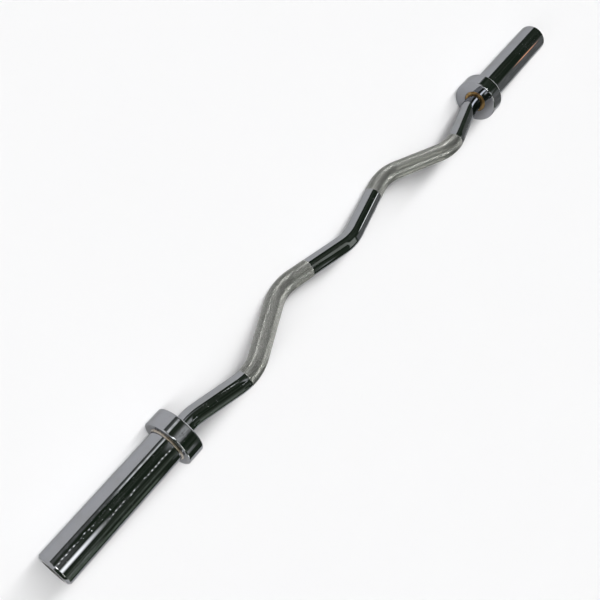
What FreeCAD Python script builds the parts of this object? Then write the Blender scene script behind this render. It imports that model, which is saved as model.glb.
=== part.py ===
import FreeCAD, Part
import math
import os

V = FreeCAD.Vector

# All sizes are in millimetres. X runs along the bar and Z is up. Each size below can be set by itself.

# Shaft: a round bar bent in one plane. A span runs along X to the corner of the next bend, going outwards
# from the middle, and a rise is a corner's distance from the sleeves' axis on the side of the high bends.
shaft_diameter = 28.0
bend_radius = 82.0
middle_span = 137.0
grip_span = 127.5
outer_span = 96.5
stub_span = 21.0
middle_rise = 0.5
high_bend_rise = 31.5
low_bend_drop = 24.0
journal_step = 1.5
journal_chamfer = 1.0

# Sleeve and collar: the collar is a cup over the sleeve's inner end, and a weld in a groove joins the two.
sleeve_diameter = 50.0
sleeve_length = 192.0
sleeve_chamfer = 3.0
collar_width = 26.0
collar_height = 12.0
collar_edge_radius = 2.0
collar_lip = 5.0
spigot_step = 1.0
weld_leg = 2.0
recess_chamfer = 1.0

# Bronze bearings: two equal bushings and two thrust washers to a sleeve.
bushing_wall = 2.0
bushing_length = 30.0
inner_washer_width = 4.5
inner_washer_thickness = 4.0
outer_washer_ledge = 1.5
outer_washer_thickness = 3.0

# Fastening at the shaft's end: a hex socket bolt, a split lock washer and a retaining washer.
bolt_diameter = 12.0
bolt_reach = 28.0
bolt_head_rim = 3.0
bolt_head_height = 7.0
bolt_setback = 5.0
socket_width = 8.0
socket_depth = 5.0
lock_washer_width = 2.8
lock_washer_thickness = 2.5
lock_washer_split = 1.5
lock_washer_slant = 20.0
retaining_washer_thickness = 4.0
tapped_hole_runout = 4.0
drill_point_angle = 118.0

# Clearances: radial for the fits, axial for the play of a sleeve at each end.
running_gap = 0.05
axial_play = 0.15
bore_gap = 1.0
washer_gap = 0.3
turning_gap = 0.8
bolt_hole_gap = 0.25
thread_gap = 0.05
edge_break = 0.4

# Radii that follow.
shaft_radius = shaft_diameter / 2
journal_radius = shaft_radius - journal_step
bushing_bore = journal_radius + running_gap
bushing_radius = bushing_bore + bushing_wall
sleeve_radius = sleeve_diameter / 2
sleeve_bore = journal_radius + bore_gap
spigot_radius = sleeve_radius - spigot_step
collar_radius = sleeve_radius + collar_height
weld_radius = sleeve_radius + weld_leg
thrust_bore = journal_radius + washer_gap
inner_washer_radius = shaft_radius + inner_washer_width
outer_washer_radius = bushing_radius + outer_washer_ledge
recess_radius = outer_washer_radius + washer_gap
retaining_radius = recess_radius - turning_gap
bolt_radius = bolt_diameter / 2
bolt_hole = bolt_radius + bolt_hole_gap
bolt_head_radius = bolt_radius + bolt_head_rim

# Corners of the right half of the shaft's centre line, and the places along X of what sits on its end.
high_bend_x = middle_span
low_bend_x = high_bend_x + grip_span
collar_bend_x = low_bend_x + outer_span
collar_inner_x = collar_bend_x + stub_span
collar_outer_x = collar_inner_x + collar_width
weld_groove_x = collar_outer_x - (weld_radius - spigot_radius)
plate_seat_x = collar_outer_x + weld_leg
sleeve_end_x = collar_outer_x + sleeve_length
sleeve_inner_x = collar_inner_x + collar_lip
inner_washer_x = sleeve_inner_x - inner_washer_thickness
shoulder_x = inner_washer_x - axial_play
head_top_x = sleeve_end_x - bolt_setback
head_seat_x = head_top_x - bolt_head_height
lock_washer_x = head_seat_x - lock_washer_thickness
shaft_end_x = lock_washer_x - retaining_washer_thickness
outer_washer_face_x = shaft_end_x - axial_play
recess_floor_x = outer_washer_face_x - outer_washer_thickness
outer_bushing_x = recess_floor_x - bushing_length

ORIGIN = V(0, 0, 0)
ALONG = V(1, 0, 0)
UP = V(0, 0, 1)


def turned(profile):
    """A solid of revolution about the sleeves' axis, from the (x, radius) corners of its section."""
    corners = [V(x, 0, radius) for x, radius in profile]
    section = Part.Face(Part.makePolygon(corners + corners[:1]))
    return section.revolve(ORIGIN, ALONG, 360)


def ring(start_x, end_x, bore, radius):
    """A ring about the sleeves' axis with its outer edges broken."""
    return turned([
        (start_x, bore),
        (start_x, radius - edge_break),
        (start_x + edge_break, radius),
        (end_x - edge_break, radius),
        (end_x, radius - edge_break),
        (end_x, bore),
    ])


def round_edges(shape, radius, at_x):
    """The shape's round edges of one radius at one place along X."""
    rims = [e for e in shape.Edges if isinstance(e.Curve, Part.Circle)]
    return [e for e in rims if math.isclose(e.Curve.Radius, radius) and math.isclose(e.Curve.Center.x, at_x)]


def bend(before, corner, after):
    """Start, middle, end and centre of the arc that rounds one corner of the shaft's centre line."""
    back = (before - corner).normalize()
    ahead = (after - corner).normalize()
    half_opening = back.getAngle(ahead) / 2
    inwards = (back + ahead).normalize()
    centre = corner + inwards * (bend_radius / math.sin(half_opening))
    tangent_length = bend_radius / math.tan(half_opening)
    start = corner + back * tangent_length
    middle = centre - inwards * bend_radius
    end = corner + ahead * tangent_length
    return start, middle, end, centre


def shaft_corners():
    """The centre line from one shoulder to the other, with the bends' plane laid on XY."""
    right = [
        V(high_bend_x, high_bend_rise, 0),
        V(low_bend_x, -low_bend_drop, 0),
        V(collar_bend_x, 0, 0),
        V(shoulder_x, 0, 0),
    ]
    left = [V(-p.x, p.y, 0) for p in reversed(right)]
    return left + [V(0, middle_rise, 0)] + right


def centre_line(corners):
    """Straight runs joined by one arc at every corner between the ends."""
    edges = []
    reached = corners[0]
    for before, corner, after in zip(corners, corners[1:], corners[2:]):
        start, middle, end, _ = bend(before, corner, after)
        edges.append(Part.LineSegment(reached, start).toShape())
        edges.append(Part.Arc(start, middle, end).toShape())
        reached = end
    edges.append(Part.LineSegment(reached, corners[-1]).toShape())
    return Part.Wire(edges)


def lying_angle(corners):
    """How far the shaft turns in its sleeves, when it lies on a floor, until its high bends touch down."""
    middle = len(corners) // 2
    _, _, _, centre = bend(*corners[middle:middle + 3])
    reach = centre.y + bend_radius
    return math.degrees(math.asin(min(1.0, (collar_radius - shaft_radius) / reach)))


def journal():
    """The turned-down right end of the shaft, tapped for the end bolt."""
    length = shaft_end_x - shoulder_x
    stub = Part.makeCylinder(journal_radius, length, V(shoulder_x, 0, 0), ALONG)
    stub = stub.makeChamfer(journal_chamfer, round_edges(stub, journal_radius, shaft_end_x))
    hole_radius = bolt_radius + thread_gap
    hole_depth = bolt_reach + tapped_hole_runout
    hole = Part.makeCylinder(hole_radius, hole_depth, V(shaft_end_x, 0, 0), -ALONG)
    point_depth = hole_radius / math.tan(math.radians(drill_point_angle / 2))
    point = Part.makeCone(hole_radius, 0, point_depth, V(shaft_end_x - hole_depth, 0, 0), -ALONG)
    return stub.cut(hole.fuse(point))


def bent_shaft():
    """The bent bar with a journal at each end, turned in its sleeves to lie as it does on a floor."""
    corners = shaft_corners()
    section = Part.Wire(Part.makeCircle(shaft_radius, corners[0], ALONG))
    bar = centre_line(corners).makePipeShell([section], True, False)
    end = journal()
    other_end = end.rotated(ORIGIN, UP, 180)
    whole = bar.multiFuse([end, other_end]).removeSplitter()
    return whole.rotated(ORIGIN, ALONG, 180 + lying_angle(corners))


def sleeve_tube():
    """The sleeve: a thick tube with a spigot for the collar, two bushing seats and the end recess."""
    return turned([
        (sleeve_inner_x, spigot_radius),
        (plate_seat_x, spigot_radius),
        (plate_seat_x, sleeve_radius),
        (sleeve_end_x - sleeve_chamfer, sleeve_radius),
        (sleeve_end_x, sleeve_radius - sleeve_chamfer),
        (sleeve_end_x, recess_radius + recess_chamfer),
        (sleeve_end_x - recess_chamfer, recess_radius),
        (recess_floor_x, recess_radius),
        (recess_floor_x, bushing_radius),
        (outer_bushing_x, bushing_radius),
        (outer_bushing_x, sleeve_bore),
        (sleeve_inner_x + bushing_length, sleeve_bore),
        (sleeve_inner_x + bushing_length, bushing_radius),
        (sleeve_inner_x, bushing_radius),
    ])


def collar():
    """The collar: a cup over the sleeve's spigot, with a lip round the inner thrust washer."""
    lip_bore = inner_washer_radius + washer_gap
    cup = turned([
        (collar_inner_x, lip_bore + edge_break),
        (collar_inner_x, collar_radius),
        (collar_outer_x, collar_radius),
        (collar_outer_x, weld_radius),
        (weld_groove_x, spigot_radius),
        (sleeve_inner_x, spigot_radius),
        (sleeve_inner_x, lip_bore),
        (collar_inner_x + edge_break, lip_bore),
    ])
    rims = round_edges(cup, collar_radius, collar_inner_x) + round_edges(cup, collar_radius, collar_outer_x)
    return cup.makeFillet(collar_edge_radius, rims)


def weld_bead():
    """The weld that fills the groove between collar and sleeve, with a hollow face in their corner."""
    on_collar = V(collar_outer_x, 0, weld_radius)
    on_sleeve = V(plate_seat_x, 0, sleeve_radius)
    under_sleeve = V(plate_seat_x, 0, spigot_radius)
    under_collar = V(weld_groove_x, 0, spigot_radius)
    face_centre = V(plate_seat_x, 0, weld_radius)
    hollow = face_centre - (ALONG + UP).normalize() * weld_leg
    outline = Part.Wire([
        Part.Arc(on_collar, hollow, on_sleeve).toShape(),
        Part.LineSegment(on_sleeve, under_sleeve).toShape(),
        Part.LineSegment(under_sleeve, under_collar).toShape(),
        Part.LineSegment(under_collar, on_collar).toShape(),
    ])
    return Part.Face(outline).revolve(ORIGIN, ALONG, 360)


def lock_washer():
    """The split lock washer, pressed flat, with its slanting gap at the top."""
    radius = bolt_hole + lock_washer_width
    washer = ring(lock_washer_x, head_seat_x, bolt_hole, radius)
    gap_length = 4 * lock_washer_thickness
    gap = Part.makeBox(gap_length, lock_washer_split, 2 * radius)
    gap.translate(V(-gap_length / 2, -lock_washer_split / 2, 0))
    gap.rotate(ORIGIN, UP, lock_washer_slant)
    gap.translate(V(lock_washer_x + lock_washer_thickness / 2, 0, 0))
    return washer.cut(gap)


def end_bolt():
    """The low-head bolt with its hex socket; its thread is a plain cylinder."""
    seat = V(head_seat_x, 0, 0)
    tip_x = shaft_end_x - bolt_reach
    shank = Part.makeCylinder(bolt_radius, head_seat_x - tip_x, seat, -ALONG)
    shank = shank.makeChamfer(edge_break, round_edges(shank, bolt_radius, tip_x))
    head = Part.makeCylinder(bolt_head_radius, bolt_head_height, seat, ALONG)
    head = head.makeChamfer(edge_break, round_edges(head, bolt_head_radius, head_top_x))
    corner = V(head_top_x - socket_depth, socket_width / math.sqrt(3), 0)
    turns = [FreeCAD.Rotation(ALONG, 60 * side) for side in range(7)]
    hexagon = Part.makePolygon([turn.multVec(corner) for turn in turns])
    socket = Part.Face(hexagon).extrude(ALONG * socket_depth)
    return head.fuse(shank).removeSplitter().cut(socket)


# The right-hand pieces, each in its place on the sleeves' axis. The left-hand ones are these turned round.
side_pieces = {
    "sleeve_tube": sleeve_tube(),
    "collar": collar(),
    "weld_bead": weld_bead(),
    "inner_bushing": ring(sleeve_inner_x, sleeve_inner_x + bushing_length, bushing_bore, bushing_radius),
    "outer_bushing": ring(outer_bushing_x, recess_floor_x, bushing_bore, bushing_radius),
    "inner_thrust_washer": ring(inner_washer_x, sleeve_inner_x, thrust_bore, inner_washer_radius),
    "outer_thrust_washer": ring(recess_floor_x, outer_washer_face_x, thrust_bore, outer_washer_radius),
    "retaining_washer": ring(shaft_end_x, lock_washer_x, bolt_hole, retaining_radius),
    "lock_washer": lock_washer(),
    "end_bolt": end_bolt(),
}

pieces = {"bent_shaft": bent_shaft()}
for name, shape in side_pieces.items():
    pieces["right_" + name] = shape
    pieces["left_" + name] = shape.rotated(ORIGIN, UP, 180)

# The bar lies on its collars, so the sleeves' axis is one collar radius above the floor at Z = 0.
os.makedirs("parts", exist_ok=True)
for name, shape in pieces.items():
    shape.translated(UP * collar_radius).exportStep(f"parts/{name}.step")

print(f"overall length {2 * sleeve_end_x:.1f}, lying angle {lying_angle(shaft_corners()):.2f} degrees")
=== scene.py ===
import math

import bmesh
import bpy
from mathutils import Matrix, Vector


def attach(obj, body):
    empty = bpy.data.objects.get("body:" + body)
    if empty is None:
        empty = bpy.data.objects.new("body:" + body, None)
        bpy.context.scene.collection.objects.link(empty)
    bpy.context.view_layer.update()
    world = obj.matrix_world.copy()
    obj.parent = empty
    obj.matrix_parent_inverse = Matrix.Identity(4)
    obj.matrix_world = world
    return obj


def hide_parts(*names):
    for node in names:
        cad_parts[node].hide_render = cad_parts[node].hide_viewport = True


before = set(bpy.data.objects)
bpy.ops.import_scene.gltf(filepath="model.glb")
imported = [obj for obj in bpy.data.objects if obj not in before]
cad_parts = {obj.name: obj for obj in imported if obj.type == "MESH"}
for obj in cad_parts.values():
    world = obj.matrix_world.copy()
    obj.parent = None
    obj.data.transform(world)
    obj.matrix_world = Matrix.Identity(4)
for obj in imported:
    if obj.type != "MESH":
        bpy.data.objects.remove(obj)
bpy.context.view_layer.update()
scene = bpy.context.scene

# Camera: it stands in front of the bar's right-hand end and looks down on it, rolled over so that the bar
# rises to the right. Its place, turn and lens are those that lay the bar's outline on the photographed one.
camera = bpy.data.objects.new("camera", bpy.data.cameras.new("camera"))
camera.location = (0.651873, -0.634925, 0.773746)
camera.rotation_euler = [math.radians(turn) for turn in (-14.448716, -46.546676, 148.731294)]
camera.data.sensor_width = 36.0
camera.data.lens = 47.070862
camera.data.clip_start = 0.05
scene.collection.objects.link(camera)
scene.camera = camera

# Bent shaft: one round bar of 28 mm steel, bent cold in one plane and chrome plated. Its high bends lean
# forward until they touch the floor. Both grips are rolled with a diamond knurl, rows of short pyramids that
# look matt.
axis_height = 0.037
shaft_radius = 0.014
shaft_bend_radius = 0.082
shaft_lean = math.radians(56.46)
shoulder_x = 0.38285
middle_rise = 0.0005
shaft_corners = [(0.137, 0.0315), (0.2645, -0.024), (0.361, 0.0), (shoulder_x, 0.0)]
bend_steps = 60
right_grip = (0.084, 0.2885)
left_grip = (0.095, 0.2912)
knurl_spokes = 120
knurl_step = 0.00127
knurl_crest = 0.00012
knurl_groove = 0.00032
knurl_run_out = 0.0008
knurl_wear = 0.2
knurl_seed = 7
knurl_edge_share = 0.4
knurl_valley_steel = (0.115, 0.117, 0.110)
knurl_crest_steel = (0.56, 0.565, 0.54)
knurl_grain_depth = 0.00003
chrome_edge_tint = (0.6, 0.6, 0.6, 1.0)
chrome_polish = 0.016
chrome_haze = 0.02
chrome_scuff = 0.22
chrome_ripple_depth = 0.00002


class Wire:
    """One output in a node tree. Arithmetic on it adds Math nodes, and node() adds any other node."""

    def __init__(self, tree, socket=None):
        self.tree = tree
        self.socket = socket

    def node(self, kind, settings=None, inputs=None, output=0):
        made = self.tree.nodes.new(kind)
        for name, value in (settings or {}).items():
            setattr(made, name, value)
        for name, value in (inputs or {}).items():
            if isinstance(value, Wire):
                self.tree.links.new(value.socket, made.inputs[name])
            else:
                made.inputs[name].default_value = value
        return Wire(self.tree, made.outputs[output] if made.outputs else None)

    def out(self, name):
        return Wire(self.tree, self.socket.node.outputs[name])

    def maths(self, operation, first, second=0.0):
        return self.node("ShaderNodeMath", {"operation": operation}, {0: first, 1: second})

    def __add__(self, other):
        return self.maths("ADD", self, other)

    def __radd__(self, other):
        return self.maths("ADD", other, self)

    def __sub__(self, other):
        return self.maths("SUBTRACT", self, other)

    def __rsub__(self, other):
        return self.maths("SUBTRACT", other, self)

    def __mul__(self, other):
        return self.maths("MULTIPLY", self, other)

    def __rmul__(self, other):
        return self.maths("MULTIPLY", other, self)

    def __mod__(self, other):
        return self.maths("FLOORED_MODULO", self, other)

    def __rmod__(self, other):
        return self.maths("FLOORED_MODULO", other, self)

    def __gt__(self, other):
        return self.maths("GREATER_THAN", self, other)

    def __lt__(self, other):
        return self.maths("LESS_THAN", self, other)

    def __abs__(self):
        return self.maths("ABSOLUTE", self)

    def fade(self, low, high):
        """0 below low and 1 above high, with a soft passage between them."""
        return self.node("ShaderNodeMapRange", {"interpolation_type": "SMOOTHSTEP"},
                         {"Value": self, "From Min": low, "From Max": high})


def blend(share, first, second):
    """A colour that goes from the first to the second as the share goes from 0 to 1."""
    colours = {"Factor": share, "A": first, "B": second}
    made = share.tree.nodes.new("ShaderNodeMix")
    made.data_type = "RGBA"
    for socket in made.inputs:
        if socket.enabled and socket.name in colours:
            value = colours[socket.name]
            if isinstance(value, Wire):
                share.tree.links.new(value.socket, socket)
            else:
                socket.default_value = (*value, 1.0)
    return Wire(share.tree, next(o for o in made.outputs if o.enabled))


def finish_of(name, **constants):
    """A new material, its surface shader, and the object's coordinates from the sleeves' axis in metres."""
    material = bpy.data.materials.new(name)
    material.use_nodes = True
    tree = material.node_tree
    shader = tree.nodes["Principled BSDF"]
    for socket, value in constants.items():
        shader.inputs[socket.replace("_", " ").title()].default_value = value
    place = Wire(tree).node("ShaderNodeTexCoord", output="Object")
    place = place.node("ShaderNodeVectorMath", {"operation": "SUBTRACT"}, {0: place, 1: (0, 0, axis_height)})
    return material, shader, place


def noise(place, scale, detail, stretch=(1, 1, 1)):
    """Noise from 0 to 1 on coordinates that are stretched along each axis."""
    spread = place.node("ShaderNodeVectorMath", {"operation": "MULTIPLY"}, {0: place, 1: stretch})
    return spread.node("ShaderNodeTexNoise", {}, {"Vector": spread, "Scale": scale, "Detail": detail})


def lay_on(shader, place, colour, roughness, height, depth):
    """Links what varies over a surface to its shader: the colour, the roughness and a bump of that depth."""
    tree = place.tree
    tree.links.new(colour.socket, shader.inputs["Base Color"])
    tree.links.new(roughness.socket, shader.inputs["Roughness"])
    bump = place.node("ShaderNodeBump", {}, {"Strength": 1.0, "Distance": depth, "Height": height})
    tree.links.new(bump.socket, shader.inputs["Normal"])


def chrome(name, bright, dull, scuff_stretch, scuffs):
    """Polished chrome plate: clouds of haze, hairline scuffs that follow the stretch, and a faint ripple."""
    material, shader, place = finish_of(name, metallic=1.0, specular_tint=chrome_edge_tint)
    haze = noise(place, scale=38.0, detail=4.0)
    hairs = noise(place, scale=1.0, detail=1.0, stretch=scuff_stretch)
    hair = 1 - abs(hairs - 0.5).fade(0.003, 0.010)
    patch = noise(place, scale=17.0, detail=2.0).fade(0.50, 0.68)
    cell = place.node("ShaderNodeTexVoronoi", {"feature": "F1"}, {"Vector": place, "Scale": 210.0})
    chosen = noise(place, scale=45.0, detail=1.0).fade(0.42, 0.52)
    speck = (1 - cell.fade(0.10, 0.20)) * chosen
    scuff = hair * patch * scuffs * 0.6 + speck
    colour = blend(haze.fade(0.45, 0.75) * 0.6 + scuff * 0.25, bright, dull)
    roughness = chrome_polish + haze.fade(0.4, 0.8) * chrome_haze + scuff * chrome_scuff
    lay_on(shader, place, colour, roughness, haze * 0.5 - scuff * 0.5, chrome_ripple_depth)
    return material


shaft_chrome = chrome("shaft_chrome", bright=(0.308, 0.315, 0.332), dull=(0.278, 0.28, 0.278),
                      scuff_stretch=(14, 1500, 1500), scuffs=0.7)
grip_knurl, grip_shader, grip_place = finish_of("grip_knurl", metallic=1.0)


def knurl_attribute(name):
    """One of the values that the bar's mesh keeps at its points."""
    return grip_place.node("ShaderNodeAttribute", {"attribute_name": name}, output="Fac")


def knurl_noise(along_scale, round_scale, detail):
    """Noise from 0 to 1 that follows the bar: its fineness along the bar and round it."""
    spread = grip_place.node("ShaderNodeCombineXYZ", {}, {"X": knurl_attribute("along") * along_scale,
                                                          "Y": knurl_attribute("spoke") * round_scale})
    return grip_place.node("ShaderNodeTexNoise", {}, {"Vector": spread, "Scale": 1.0, "Detail": detail})


knurl_tip = knurl_attribute("tip")
grip_streak = knurl_noise(110.0, 0.55, 3.0).fade(0.32, 0.68)
grip_spot = knurl_noise(420.0, 0.45, 2.0).fade(0.30, 0.70)
grip_grain = noise(grip_place, scale=900.0, detail=2.0)
lay_on(
    grip_shader, grip_place,
    blend(knurl_tip.fade(0.0, 0.8) * (0.12 + grip_streak * 0.45 + grip_spot * 0.55),
          knurl_valley_steel, knurl_crest_steel),
    0.31 - knurl_tip.fade(0.5, 1.0) * 0.10 + grip_spot * 0.06,
    grip_grain, knurl_grain_depth,
)


def shaft_tree():
    """The bar's nodes: corners to a filleted line, line to a round bar, and the knurl in its grips."""
    tree = bpy.data.node_groups.new("bent shaft", "GeometryNodeTree")
    tree.interface.new_socket("Geometry", in_out="OUTPUT", socket_type="NodeSocketGeometry")
    tree.interface.new_socket("Geometry", in_out="INPUT", socket_type="NodeSocketGeometry")
    for name in ("Bar radius", "Bend radius", "Knurl step", "Knurl crest", "Knurl groove",
                 "Right grip start", "Right grip end", "Left grip start", "Left grip end",
                 "Knurl run-out", "Knurl wear"):
        tree.interface.new_socket(name, in_out="INPUT", socket_type="NodeSocketFloat")
    tree.interface.new_socket("Knurl spokes", in_out="INPUT", socket_type="NodeSocketInt")
    corners = Wire(tree).node("NodeGroupInput", output="Geometry")
    size = corners.out
    index = corners.node("GeometryNodeInputIndex")

    def keep(geometry, name, kind, value):
        return corners.node("GeometryNodeStoreNamedAttribute", {"data_type": kind, "domain": "POINT"},
                            {"Geometry": geometry, "Name": name, "Value": value})

    def kept(name, kind):
        return corners.node("GeometryNodeInputNamedAttribute", {"data_type": kind}, {"Name": name})

    line = corners.node("GeometryNodeMeshToCurve", {}, {"Mesh": corners})
    line = corners.node("GeometryNodeFilletCurve", {"mode": "POLY"},
                        {"Curve": line, "Count": bend_steps, "Radius": size("Bend radius")})
    length = corners.node("GeometryNodeCurveLength", {}, {"Curve": line})
    line = corners.node("GeometryNodeResampleCurve", {"mode": "LENGTH"},
                        {"Curve": line, "Length": size("Knurl step")})
    reach = corners.node("GeometryNodeSplineParameter", output="Length")
    line = keep(keep(line, "along", "FLOAT", reach - length * 0.5), "ring", "INT", index)
    section = corners.node("GeometryNodeCurvePrimitiveCircle", {"mode": "RADIUS"},
                           {"Resolution": size("Knurl spokes"), "Radius": size("Bar radius")})
    section = keep(section, "spoke", "INT", index)
    bar = corners.node("GeometryNodeCurveToMesh", {},
                       {"Curve": line, "Profile Curve": section, "Fill Caps": True})
    along = kept("along", "FLOAT")
    run_out = size("Knurl run-out")

    def between(reach, start, end):
        return reach.fade(start - run_out, start + run_out) * (1 - reach.fade(end - run_out, end + run_out))

    grip = (between(along, size("Right grip start"), size("Right grip end"))
            + between(0 - along, size("Left grip start"), size("Left grip end")))
    tip = 1 - (kept("ring", "INT") + kept("spoke", "INT")) % 2
    bar = keep(keep(bar, "tip", "FLOAT", tip), "grip", "FLOAT", grip)
    worn = corners.node("FunctionNodeRandomValue", {"data_type": "FLOAT"},
                        {2: 1 - size("Knurl wear"), 3: 1.0, "Seed": knurl_seed}, 1)
    depth = size("Knurl crest") + size("Knurl groove")
    rise = kept("grip", "FLOAT") * (kept("tip", "FLOAT") * worn * depth - size("Knurl groove"))
    outwards = corners.node("GeometryNodeInputNormal")
    rise = corners.node("ShaderNodeVectorMath", {"operation": "SCALE"}, {"Vector": outwards, "Scale": rise})
    bar = corners.node("GeometryNodeSetPosition", {}, {"Geometry": bar, "Offset": rise})
    knurled = kept("grip", "FLOAT") > knurl_edge_share
    bar = corners.node("GeometryNodeTriangulate", {"quad_method": "SHORTEST_DIAGONAL"},
                       {"Mesh": bar, "Selection": knurled})
    bar = corners.node("GeometryNodeSetShadeSmooth", {"domain": "FACE"},
                       {"Geometry": bar, "Shade Smooth": True})
    bar = corners.node("GeometryNodeSetShadeSmooth", {"domain": "FACE"},
                       {"Geometry": bar, "Selection": knurled, "Shade Smooth": False})
    bar = corners.node("GeometryNodeRealizeInstances", {}, {"Geometry": bar})
    bar = corners.node("GeometryNodeSetMaterial", {}, {"Geometry": bar, "Material": shaft_chrome})
    bar = corners.node("GeometryNodeSetMaterial", {},
                       {"Geometry": bar, "Selection": knurled, "Material": grip_knurl})
    corners.node("NodeGroupOutput", {}, {"Geometry": bar})
    return tree


def settled(name, carrier):
    """The finished mesh of an object whose modifier has done its work, as an object of that name."""
    scene.collection.objects.link(carrier)
    ready = carrier.evaluated_get(bpy.context.evaluated_depsgraph_get())
    mesh = bpy.data.meshes.new_from_object(ready)
    bpy.data.objects.remove(carrier)
    piece = bpy.data.objects.new(name, mesh)
    scene.collection.objects.link(piece)
    return piece


corner_line = [(-x, rise) for x, rise in reversed(shaft_corners)] + [(0.0, middle_rise)] + shaft_corners
corner_mesh = bpy.data.meshes.new("shaft corners")
corner_mesh.from_pydata(
    [(x, -rise * math.cos(shaft_lean), axis_height - rise * math.sin(shaft_lean))
     for x, rise in corner_line],
    [(i, i + 1) for i in range(len(corner_line) - 1)], [],
)
shaft_carrier = bpy.data.objects.new("shaft carrier", corner_mesh)
shaft_nodes = shaft_carrier.modifiers.new("bent shaft", "NODES")
shaft_nodes.node_group = shaft_tree()
shaft_sizes = {
    "Bar radius": shaft_radius, "Bend radius": shaft_bend_radius, "Knurl spokes": knurl_spokes,
    "Knurl step": knurl_step, "Knurl crest": knurl_crest, "Knurl groove": knurl_groove,
    "Right grip start": right_grip[0], "Right grip end": right_grip[1],
    "Left grip start": left_grip[0], "Left grip end": left_grip[1],
    "Knurl run-out": knurl_run_out, "Knurl wear": knurl_wear,
}
for socket in shaft_nodes.node_group.interface.items_tree:
    if socket.name in shaft_sizes:
        shaft_nodes[socket.identifier] = shaft_sizes[socket.name]
shaft = settled("bent_bar", shaft_carrier)
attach(shaft, "shaft")
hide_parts("bent_shaft")

# Journals: the turned-down ends of the bar on which the sleeves run, drilled and tapped for the end bolts.
# They are plated and ground with the bar and stay hidden inside the sleeves.
journal_radius = 0.0125
shaft_end_x = 0.5815
tapped_radius = 0.00605
tapped_depth = 0.032
drill_point = 0.0036
journal_root = 0.004
journal_chamfer = 0.001
fine_edge = 0.0002
sharp_angle = math.radians(32)
merge_distance = 1e-7
sides = {"right": 1, "left": -1}


def rounded(corners, steps=5, guard=0.0002):
    """The closed outline of a turned piece, from (x, radius, rounding) corners. Guard points beside each
    curve keep the flats evenly shaded."""
    points = []
    for i, (x, r, rounding) in enumerate(corners):
        corner = Vector((x, r))
        if rounding == 0:
            points.append(corner)
            continue
        back = (Vector(corners[i - 1][:2]) - corner).normalized()
        ahead = (Vector(corners[(i + 1) % len(corners)][:2]) - corner).normalized()
        half = back.angle(ahead) / 2
        run = rounding / math.tan(half)
        centre = corner + (back + ahead).normalized() * (rounding / math.sin(half))
        start = corner + back * run - centre
        turn = start.angle_signed(corner + ahead * run - centre)
        points.append(corner + back * (run + guard))
        for step in range(steps + 1):
            angle = -turn * step / steps
            points.append(centre + Vector((start.x * math.cos(angle) - start.y * math.sin(angle),
                                           start.x * math.sin(angle) + start.y * math.cos(angle))))
        points.append(corner + ahead * (run + guard))
    return points


def turned(name, side, outline, material, segments, swell=None, inlay=None):
    """A piece turned about the sleeves' axis. swell gives a point's change of radius from its number and
    angle, and inlay is a second material with a test of the outline's places, (x, radius), that take it."""
    work = bmesh.new()
    rings = []
    for k in range(segments):
        angle = 2 * math.pi * k / segments
        ring = []
        for number, (x, r) in enumerate(outline):
            r += swell(number, angle) if swell else 0.0
            place = (sides[side] * x, sides[side] * r * math.cos(angle), axis_height + r * math.sin(angle))
            ring.append(work.verts.new(place))
        rings.append(ring)
    for k in range(segments):
        here, after = rings[k], rings[(k + 1) % segments]
        for n in range(len(outline)):
            m = (n + 1) % len(outline)
            face = work.faces.new((here[n], here[m], after[m], after[n]))
            face.material_index = int(inlay is not None and inlay[1](*outline[n]) and inlay[1](*outline[m]))
    bmesh.ops.remove_doubles(work, verts=work.verts, dist=merge_distance)
    bmesh.ops.recalc_face_normals(work, faces=work.faces)
    for face in work.faces:
        face.smooth = True
    mesh = bpy.data.meshes.new(name)
    work.to_mesh(mesh)
    work.free()
    mesh.set_sharp_from_angle(angle=sharp_angle)
    mesh.materials.append(material)
    if inlay:
        mesh.materials.append(inlay[0])
    piece = bpy.data.objects.new(name, mesh)
    scene.collection.objects.link(piece)
    return piece


journal_outline = rounded([
    (shoulder_x - journal_root, 0.0, 0), (shoulder_x - journal_root, journal_radius, 0),
    (shaft_end_x - journal_chamfer, journal_radius, fine_edge),
    (shaft_end_x, journal_radius - journal_chamfer, fine_edge),
    (shaft_end_x, tapped_radius, 0), (shaft_end_x - tapped_depth, tapped_radius, 0),
    (shaft_end_x - tapped_depth - drill_point, 0.0, 0),
])
for side in sides:
    journal = turned(f"{side}_journal", side, journal_outline, shaft_chrome, segments=96)
    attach(journal, "shaft")
    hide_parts("bent_shaft")

# Bronze bearings: two bushings and two thrust washers to a sleeve, turned from bearing bronze. Only the
# inner thrust washer shows, as a gold ring round the shaft in the collar's lip.
sleeve_inner_x = 0.387
inner_washer_x = 0.383
inner_washer_radius = 0.0185
thrust_bore = 0.0128
oil_groove = (0.0151, 0.0171)
oil_groove_depth = 0.0012
oil_groove_slope = 0.0003
washer_edge = 0.0004
washer_back_edge = 0.0003
small_edge = {"steps": 4, "guard": 0.0001}
ring_stretch = (0.02, 1, 1)
ring_depth = 0.00002


def turned_metal(name, bright, dull, clouds, rings, roughness, patina=(0.35, 0.70)):
    """Metal as it comes off the lathe: clouded from bright to dull, with fine rings. roughness is its least
    and how much the clouds add, and patina says where the clouds begin and end."""
    material, shader, place = finish_of(name, metallic=1.0)
    cloud = noise(place, scale=clouds, detail=5.0)
    ring = noise(place, scale=rings, detail=1.0, stretch=ring_stretch)
    colour = blend(cloud.fade(*patina), bright, dull)
    lay_on(shader, place, colour, roughness[0] + cloud * roughness[1], ring, ring_depth)
    return material


def dress(node, material):
    """Gives its finish to a solid that stays as the frame has it."""
    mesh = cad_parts[node].data
    mesh.materials.clear()
    mesh.materials.append(material)


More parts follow.
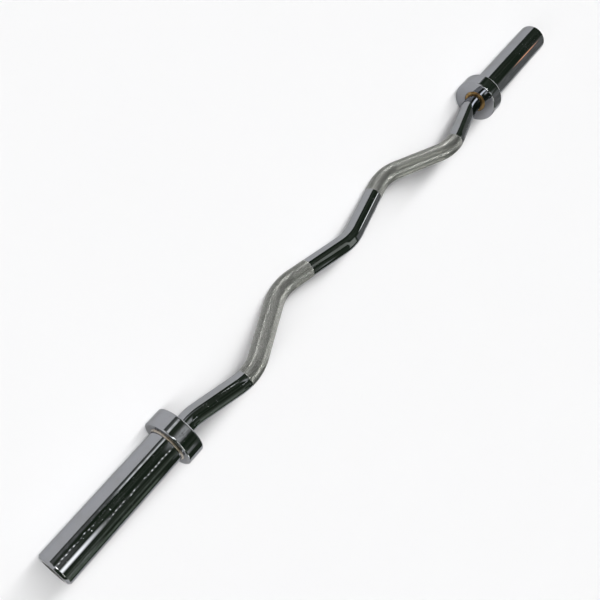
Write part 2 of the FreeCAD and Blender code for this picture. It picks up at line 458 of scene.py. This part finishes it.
bronze = turned_metal("bronze", bright=(0.50, 0.33, 0.14), dull=(0.17, 0.105, 0.045), clouds=140.0,
                      rings=2600.0, roughness=(0.24, 0.22), patina=(0.38, 0.72))
washer_outline = rounded([
    (inner_washer_x, thrust_bore, fine_edge), (inner_washer_x, oil_groove[0], fine_edge),
    (inner_washer_x + oil_groove_depth, oil_groove[0] + oil_groove_slope, 0),
    (inner_washer_x + oil_groove_depth, oil_groove[1] - oil_groove_slope, 0),
    (inner_washer_x, oil_groove[1], fine_edge), (inner_washer_x, inner_washer_radius, washer_edge),
    (sleeve_inner_x, inner_washer_radius, washer_back_edge), (sleeve_inner_x, thrust_bore, fine_edge),
], **small_edge)
for side in sides:
    washer = turned(f"{side}_thrust_ring", side, washer_outline, bronze, segments=144)
    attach(washer, f"{side}_sleeve")
    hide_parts(f"{side}_inner_thrust_washer")
    for hidden in ("inner_bushing", "outer_bushing", "outer_thrust_washer"):
        dress(f"{side}_{hidden}", bronze)

# Sleeves: thick 50 mm steel tubes, ground, polished and chromed, on which the plates slide. Sliding plates
# leave hairline scuffs along them. The free end has a wide chamfer, and the recess in it for the end bolt is
# bare steel, coloured much darker with painted shade.
sleeve_radius = 0.025
spigot_radius = 0.024
plate_seat_x = 0.410
sleeve_end_x = 0.600
sleeve_chamfer = 0.003
chamfer_outer_edge = 0.0012
chamfer_inner_edge = 0.0008
recess_radius = 0.01635
recess_floor_x = 0.57835
recess_chamfer = 0.001
recess_edge = 0.0003
recess_slack = 0.0001
bushing_radius = 0.01455
bushing_length = 0.030
sleeve_bore = 0.0135
sleeve_chrome = chrome("sleeve_chrome", bright=(0.308, 0.315, 0.335), dull=(0.278, 0.28, 0.281),
                       scuff_stretch=(10, 2200, 2200), scuffs=1.0)
sleeve_outline = rounded([
    (sleeve_inner_x, spigot_radius, 0), (plate_seat_x, spigot_radius, 0), (plate_seat_x, sleeve_radius, 0),
    (sleeve_end_x - sleeve_chamfer, sleeve_radius, chamfer_outer_edge),
    (sleeve_end_x, sleeve_radius - sleeve_chamfer, chamfer_inner_edge),
    (sleeve_end_x, recess_radius + recess_chamfer, recess_edge),
    (sleeve_end_x - recess_chamfer, recess_radius, recess_edge),
    (recess_floor_x, recess_radius, 0), (recess_floor_x, bushing_radius, 0),
    (recess_floor_x - bushing_length, bushing_radius, 0), (recess_floor_x - bushing_length, sleeve_bore, 0),
    (sleeve_inner_x + bushing_length, sleeve_bore, 0), (sleeve_inner_x + bushing_length, bushing_radius, 0),
    (sleeve_inner_x, bushing_radius, 0),
])
# The recess's steel is coloured far darker than bare steel: painted shade in the recess.
recess_steel_painted_shade = turned_metal("recess_steel_painted_shade", bright=(0.17, 0.172, 0.168), dull=(0.10, 0.098, 0.09), clouds=160.0,
                          rings=2400.0, roughness=(0.34, 0.2))


def in_recess_painted_shade(x, r):
    """Whether a place of the sleeve's outline is in its end recess, which takes the painted shade."""
    return x > recess_floor_x - recess_slack and r < recess_radius + recess_chamfer


for side in sides:
    sleeve = turned(f"{side}_plate_sleeve", side, sleeve_outline, sleeve_chrome, segments=256,
                    inlay=(recess_steel_painted_shade, in_recess_painted_shade))
    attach(sleeve, f"{side}_sleeve")
    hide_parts(f"{side}_sleeve_tube")

# Collars: heavy steel cups pressed over the sleeves' inner ends, which stop the plates. They are turned,
# with fine hairline scuffs in their chrome, and the outer edges are well rounded.
collar_inner_x = 0.382
collar_outer_x = 0.408
collar_radius = 0.037
collar_edge = 0.002
weld_radius = 0.027
weld_groove_x = 0.405
lip_bore = 0.0188
lip_edge = 0.0004
collar_chrome = chrome("collar_chrome", bright=(0.317, 0.323, 0.342), dull=(0.278, 0.28, 0.283),
                       scuff_stretch=(500, 120, 120), scuffs=0.8)
collar_outline = rounded([
    (collar_inner_x, lip_bore, lip_edge), (collar_inner_x, collar_radius, collar_edge),
    (collar_outer_x, collar_radius, collar_edge), (collar_outer_x, weld_radius, 0),
    (weld_groove_x, spigot_radius, 0), (sleeve_inner_x, spigot_radius, 0), (sleeve_inner_x, lip_bore, 0),
], steps=8)
for side in sides:
    collar = turned(f"{side}_stop_collar", side, collar_outline, collar_chrome, segments=256)
    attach(collar, f"{side}_sleeve")
    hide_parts(f"{side}_collar")

# Welds: a bead run round each sleeve in the collar's groove, with small even ripples. The chrome over it is
# thin and keeps a warm heat stain.
weld_ripples = 84
weld_ripple_height = 0.00014
weld_leg = 0.002
weld_arc = 8
weld_spot_depth = 0.00016
weld_plated = (0.37, 0.335, 0.29)
weld_stained = (0.21, 0.165, 0.11)
weld_chrome, weld_shader, weld_place = finish_of("weld_chrome", metallic=1.0)
weld_stain = noise(weld_place, scale=120.0, detail=4.0)
weld_spots = noise(weld_place, scale=900.0, detail=3.0)
lay_on(
    weld_shader, weld_place,
    blend(weld_stain.fade(0.40, 0.70), weld_plated, weld_stained),
    0.15 + weld_stain * 0.25,
    weld_spots, weld_spot_depth,
)
weld_outline = [
    Vector((plate_seat_x - weld_leg * math.cos(k * math.pi / 2 / weld_arc),
            weld_radius - weld_leg * math.sin(k * math.pi / 2 / weld_arc)))
    for k in range(weld_arc + 1)
]
weld_outline += [Vector((plate_seat_x, spigot_radius)), Vector((weld_groove_x, spigot_radius))]


def weld_ripple(number, angle):
    """The bead's ripples, full in the middle of its hollow face and none at its edges or below it."""
    if number > weld_arc:
        return 0.0
    middle = math.sin(math.pi * number / weld_arc)
    return weld_ripple_height * middle * abs(math.sin(weld_ripples / 2 * angle))


for side in sides:
    weld = turned(f"{side}_weld", side, weld_outline, weld_chrome, segments=6 * weld_ripples,
                  swell=weld_ripple)
    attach(weld, f"{side}_sleeve")
    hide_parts(f"{side}_weld_bead")

# End fastening: a thick retaining washer, a split lock washer and a low-head hex socket bolt in each recess.
# They are plated steel, and they hold the sleeve on without turning with it.
retaining_radius = 0.01555
bolt_hole = 0.00625
lock_washer_x = 0.5855
head_seat_x = 0.588
head_top_x = 0.595
head_radius = 0.009
bolt_radius = 0.006
bolt_tip_x = 0.5535
socket_width = 0.008
socket_depth = 0.005
socket_mouth = (0.0004, 0.0012)
socket_point = 0.0012
retaining_edge = 0.0006
bolt_tip_chamfer = 0.0006
head_seat_edge = 0.0003
head_shoulder = (0.0003, 0.0004)
head_crown = (0.0010, 0.0009)
head_knurl_start = 0.0008
head_knurl_end = 0.0016
head_knurl_depth = 0.00016
head_knurls = 60
washer_steel = turned_metal("washer_steel", bright=(0.44, 0.45, 0.46), dull=(0.29, 0.28, 0.25), clouds=220.0,
                            rings=2200.0, roughness=(0.26, 0.2))
bolt_steel = turned_metal("bolt_steel", bright=(0.33, 0.33, 0.34), dull=(0.20, 0.195, 0.19), clouds=300.0,
                          rings=3000.0, roughness=(0.28, 0.18))
retaining_outline = rounded([
    (shaft_end_x, bolt_hole, fine_edge), (shaft_end_x, retaining_radius, washer_edge),
    (lock_washer_x, retaining_radius, retaining_edge), (lock_washer_x, bolt_hole, fine_edge),
], **small_edge)
bolt_outline = [
    (bolt_tip_x, 0.0), (bolt_tip_x, bolt_radius - bolt_tip_chamfer),
    (bolt_tip_x + bolt_tip_chamfer, bolt_radius), (head_seat_x, bolt_radius),
    (head_seat_x, head_radius - head_seat_edge), (head_seat_x + head_seat_edge, head_radius),
    (head_seat_x + head_knurl_start, head_radius), (head_top_x - head_knurl_end, head_radius),
    (head_top_x - head_crown[0], head_radius),
    (head_top_x - head_shoulder[0], head_radius - head_shoulder[1]),
    (head_top_x, head_radius - head_crown[1]),
    (head_top_x, socket_width / 2 + socket_mouth[1]), (head_top_x - socket_mouth[0], socket_width / 2),
    (head_top_x - socket_depth, socket_width / 2), (head_top_x - socket_depth - socket_point, 0.0),
]
knurled_points = (6, 7)
hexagon_points = (12, 13)


def bolt_shape(number, angle):
    """The straight knurl on the bolt head's side and the six corners of its socket."""
    if number in knurled_points:
        return -head_knurl_depth * (round(angle * head_knurls * 4 / (2 * math.pi)) % 4 >= 2)
    if number in hexagon_points:
        sixth = math.pi / 3
        return socket_width / 2 * (1 / math.cos((angle % sixth) - sixth / 2) - 1)
    return 0.0


for side in sides:
    retaining = turned(f"{side}_retaining_disc", side, retaining_outline, washer_steel, segments=144)
    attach(retaining, "shaft")
    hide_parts(f"{side}_retaining_washer")
    bolt = turned(f"{side}_socket_bolt", side, bolt_outline, bolt_steel, segments=4 * head_knurls,
                  swell=bolt_shape)
    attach(bolt, "shaft")
    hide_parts(f"{side}_end_bolt")
    dress(f"{side}_lock_washer", washer_steel)

# Floor: a plain pale studio floor of matt paint under the bar, with a soft grain. It reaches far past the
# picture on every side.
floor_half = 30.0
floor_white = (0.905, 0.905, 0.91)
floor_grey = (0.89, 0.89, 0.895)
floor_grain_depth = 0.0001
floor_mesh = bpy.data.meshes.new("floor")
floor_corners = [(x * floor_half, y * floor_half, 0) for x, y in ((-1, -1), (1, -1), (1, 1), (-1, 1))]
floor_mesh.from_pydata(floor_corners, [], [(0, 1, 2, 3)])
floor = bpy.data.objects.new("floor", floor_mesh)
floor_paint, floor_shader, floor_place = finish_of("floor_paint", metallic=0.0)
floor_shader.inputs["Specular IOR Level"].default_value = 0.0
floor_cloud = noise(floor_place, scale=3.0, detail=3.0)
lay_on(floor_shader, floor_place, blend(floor_cloud, floor_grey, floor_white), floor_cloud * 0.1 + 0.75,
       floor_cloud, floor_grain_depth)
floor_mesh.materials.append(floor_paint)
scene.collection.objects.link(floor)

# Light: a broad band of soft light from the front, a plain pale backdrop beyond the floor, and the dim
# studio that the chrome mirrors, a green-grey room with a pale foot, panels, rows of small lamps and an open
# side. Three soft lamps hang close to the bar and show only in its chrome.
key_tilt = (42.5, 55.5)
key_tilt_soft = 4.5
key_level = 10.5
dome_level = 0.17
backdrop = (0.95, 0.95, 0.955)
room_dark = (0.023, 0.037, 0.022)
room_pale = (0.08, 0.099, 0.074)
room_foot = (0.30, 0.305, 0.305)
open_side_reach = (0.125, 0.58)
open_side_soft = 0.07
open_side_back = (0.72, 0.73, 0.75)
open_side_front = (1.5, 1.5, 1.48)
# A panel has its tilt in degrees, from the front horizon over the top, its reach between the far left at -1
# and the far right at 1, the softness of its lower and upper edges, and its colour. A later panel covers an
# earlier one.
panel_side_soft = 0.015
studio_panels = [
    # In the right sleeve, its collar and the middle of the shaft
    ((8, 22), (-0.30, 0.02), 4, (0.26, 0.265, 0.26)),
    ((15, 24), (-0.275, -0.165), 1.5, (1.7, 1.72, 1.70)),
    ((35, 66), (-0.085, 0.0), 6, (0.20, 0.205, 0.20)),
    ((46, 60), (-0.04, 0.06), 3, (40.0, 40.0, 39.0)),
    ((50, 80), (-0.29, -0.245), 8, (0.80, 0.81, 0.80)),
    ((80, 88), (-0.245, -0.165), 3, (0.20, 0.22, 0.19)),
    ((60, 90), (-0.42, -0.30), 5, (0.46, 0.49, 0.44)),
    ((86, 150), (-0.56, -0.36), 6, (0.60, 0.63, 0.57)),
    ((117, 129), (-0.245, 0.25), 3, (0.175, 0.205, 0.165)),
    ((147, 166), (-0.21, 0.25), 5, (0.235, 0.285, 0.22)),
    ((131, 146), (-0.105, 0.25), 3, (0.335, 0.37, 0.32)),
    ((131, 146), (-0.262, -0.245), 3, (0.66, 0.67, 0.66)),
    # In the left sleeve and its collar
    ((97, 164), (-1.0, -0.60), 8, (0.31, 0.315, 0.31)),
    ((164, 186), (-1.0, -0.60), 5, (0.52, 0.53, 0.52)),
    ((45, 105), (-1.0, -0.81), 6, (0.23, 0.235, 0.23)),
    ((142, 186), (-1.0, -0.825), 5, (0.95, 0.95, 0.95)),
    ((6, 172), (-1.0, -0.905), 5, (5.2, 5.2, 5.1)),
    # In the facets of the knurl and the faces of the collars
    ((70, 80), (0.28, 0.42), 3, (7.0, 7.0, 6.9)),
    ((95, 122), (0.29, 0.48), 4, (9.0, 9.1, 8.4)),
    ((148, 170), (0.14, 0.34), 4, (8.0, 8.0, 7.6)),
    ((34, 58), (0.64, 0.84), 4, (6.5, 6.6, 6.8)),
]
# A row of lamps has the tilt of its middle, its reach from left to right and its level.
lamp_rows = [(84, (-0.25, -0.13), 3.2), (42, (-0.115, -0.045), 3.6), (31, (-0.30, -0.277), 6.0)]
lamps_across = 165.0
lamp_half_tilt = 2.5
lamp_tilt_soft = 1.0
lamp_side_soft = 0.01
lamp_sway = 14.0
world = bpy.data.worlds.new("studio")
world.use_nodes = True
scene.world = world
sky = Wire(world.node_tree).node("ShaderNodeTexCoord", output="Generated")
sky_parts = sky.node("ShaderNodeSeparateXYZ", {}, {"Vector": sky})
sideways = sky_parts.out("X")
upwards = sky_parts.out("Z")
backwards = sky_parts.out("Y")
tilt = sky.maths("ARCTAN2", upwards, 0 - backwards) * math.degrees(1)


def clutter(across, over, detail):
    """Noise from 0 to 1, with its fineness from left to right and over the tilt."""
    spread = sky.node("ShaderNodeCombineXYZ", {}, {"X": sideways * across, "Y": tilt * over})
    return sky.node("ShaderNodeTexNoise", {}, {"Vector": spread, "Scale": 1.0, "Detail": detail})


def within(value, low, high, soft):
    """1 between low and high and 0 outside them, with soft edges."""
    return value.fade(low - soft, low + soft) * (1 - value.fade(high - soft, high + soft))


murk = sky.node("ShaderNodeTexNoise", {}, {"Vector": sky, "Scale": 5.0, "Detail": 4.0, "Roughness": 0.65})
room = blend(murk.fade(0.40, 0.70), room_dark, room_pale)
patchy = 0.55 + clutter(150.0, 0.10, 3.0).fade(0.35, 0.65) * 0.45
for (low, high), (left, right), soft, colour in studio_panels:
    panel = within(tilt, low, high, soft) * within(sideways, left, right, panel_side_soft) * patchy
    room = blend(panel, room, colour)
bulb = 1 - abs((sideways * lamps_across) % 1 - 0.5).fade(0.08, 0.26)
lit = clutter(70.0, 0.02, 1.0).fade(0.40, 0.52)
swayed_tilt = tilt + (clutter(90.0, 0.0, 0.0) - 0.5) * lamp_sway
for middle, (left, right), level in lamp_rows:
    row = within(swayed_tilt, middle - lamp_half_tilt, middle + lamp_half_tilt, lamp_tilt_soft)
    row = row * within(sideways, left, right, lamp_side_soft) * bulb * lit
    room = blend(row, room, (level, level, level))
foot = (1 - upwards.fade(0.02, 0.10)) * (1 - backwards.fade(-0.1, 0.1))
room = blend(foot, room, room_foot)
open_side = within(sideways, *open_side_reach, open_side_soft)
room = blend(open_side * (1 - upwards.fade(0.25, 0.40)), room, open_side_back)
front_side = 1 - backwards.fade(-0.2, 0.0)
room = blend(open_side * front_side * (1 - upwards.fade(0.40, 0.50)), room, open_side_front)
ray = sky.node("ShaderNodeLightPath", output="Is Camera Ray")
seen = ray + ray.out("Is Glossy Ray") + ray.out("Is Transmission Ray")
room = blend(ray, room, backdrop)
key = within(tilt, *key_tilt, key_tilt_soft) * key_level + dome_level
dome = key.node("ShaderNodeCombineXYZ", {}, {"X": key, "Y": key, "Z": key})
background = world.node_tree.nodes["Background"]
world.node_tree.links.new(blend(seen, dome, room).socket, background.inputs["Color"])


def soft_lamp(name, place, aim, wide, deep, level, colour=(1, 1, 1)):
    """A flat lamp that glows at that level in its middle and fades towards its edges."""
    lamp = bpy.data.lights.new(name, "AREA")
    lamp.shape = "RECTANGLE"
    lamp.size, lamp.size_y = wide, deep
    lamp.energy = 4 * level * wide * deep
    lamp.color = colour
    lamp.use_nodes = True
    spot = Wire(lamp.node_tree).node("ShaderNodeNewGeometry", output="Parametric")
    spot = spot.node("ShaderNodeSeparateXYZ", {}, {"Vector": spot})
    glow = (1 - abs(spot - 0.5).fade(0.1, 0.5)) * (1 - abs(spot.out("Y") - 0.5).fade(0.04, 0.5))
    lamp.node_tree.links.new(glow.socket, lamp.node_tree.nodes["Emission"].inputs["Strength"])
    holder = bpy.data.objects.new(name, lamp)
    holder.location = place
    holder.rotation_euler = (Vector(aim) - Vector(place)).to_track_quat("-Z", "Y").to_euler()
    holder.visible_camera = False
    holder.visible_diffuse = False
    scene.collection.objects.link(holder)


soft_lamp("sleeve lamp", (0.535, -0.13, 1.05), aim=(0.535, -0.13, 0.0), wide=0.34, deep=0.56, level=2.4)
soft_lamp("middle lamp", (-0.81, -0.07, 0.68), aim=(-0.054, -0.007, 0.026), wide=0.16, deep=0.40, level=2.4)
soft_lamp("warm lamp", (-0.724, 0.0275, 0.2155), aim=(-0.53, 0.0, 0.06), wide=0.028, deep=0.085, level=2.0,
          colour=(1.0, 0.40, 0.18))

scene.view_settings.view_transform = "Standard"
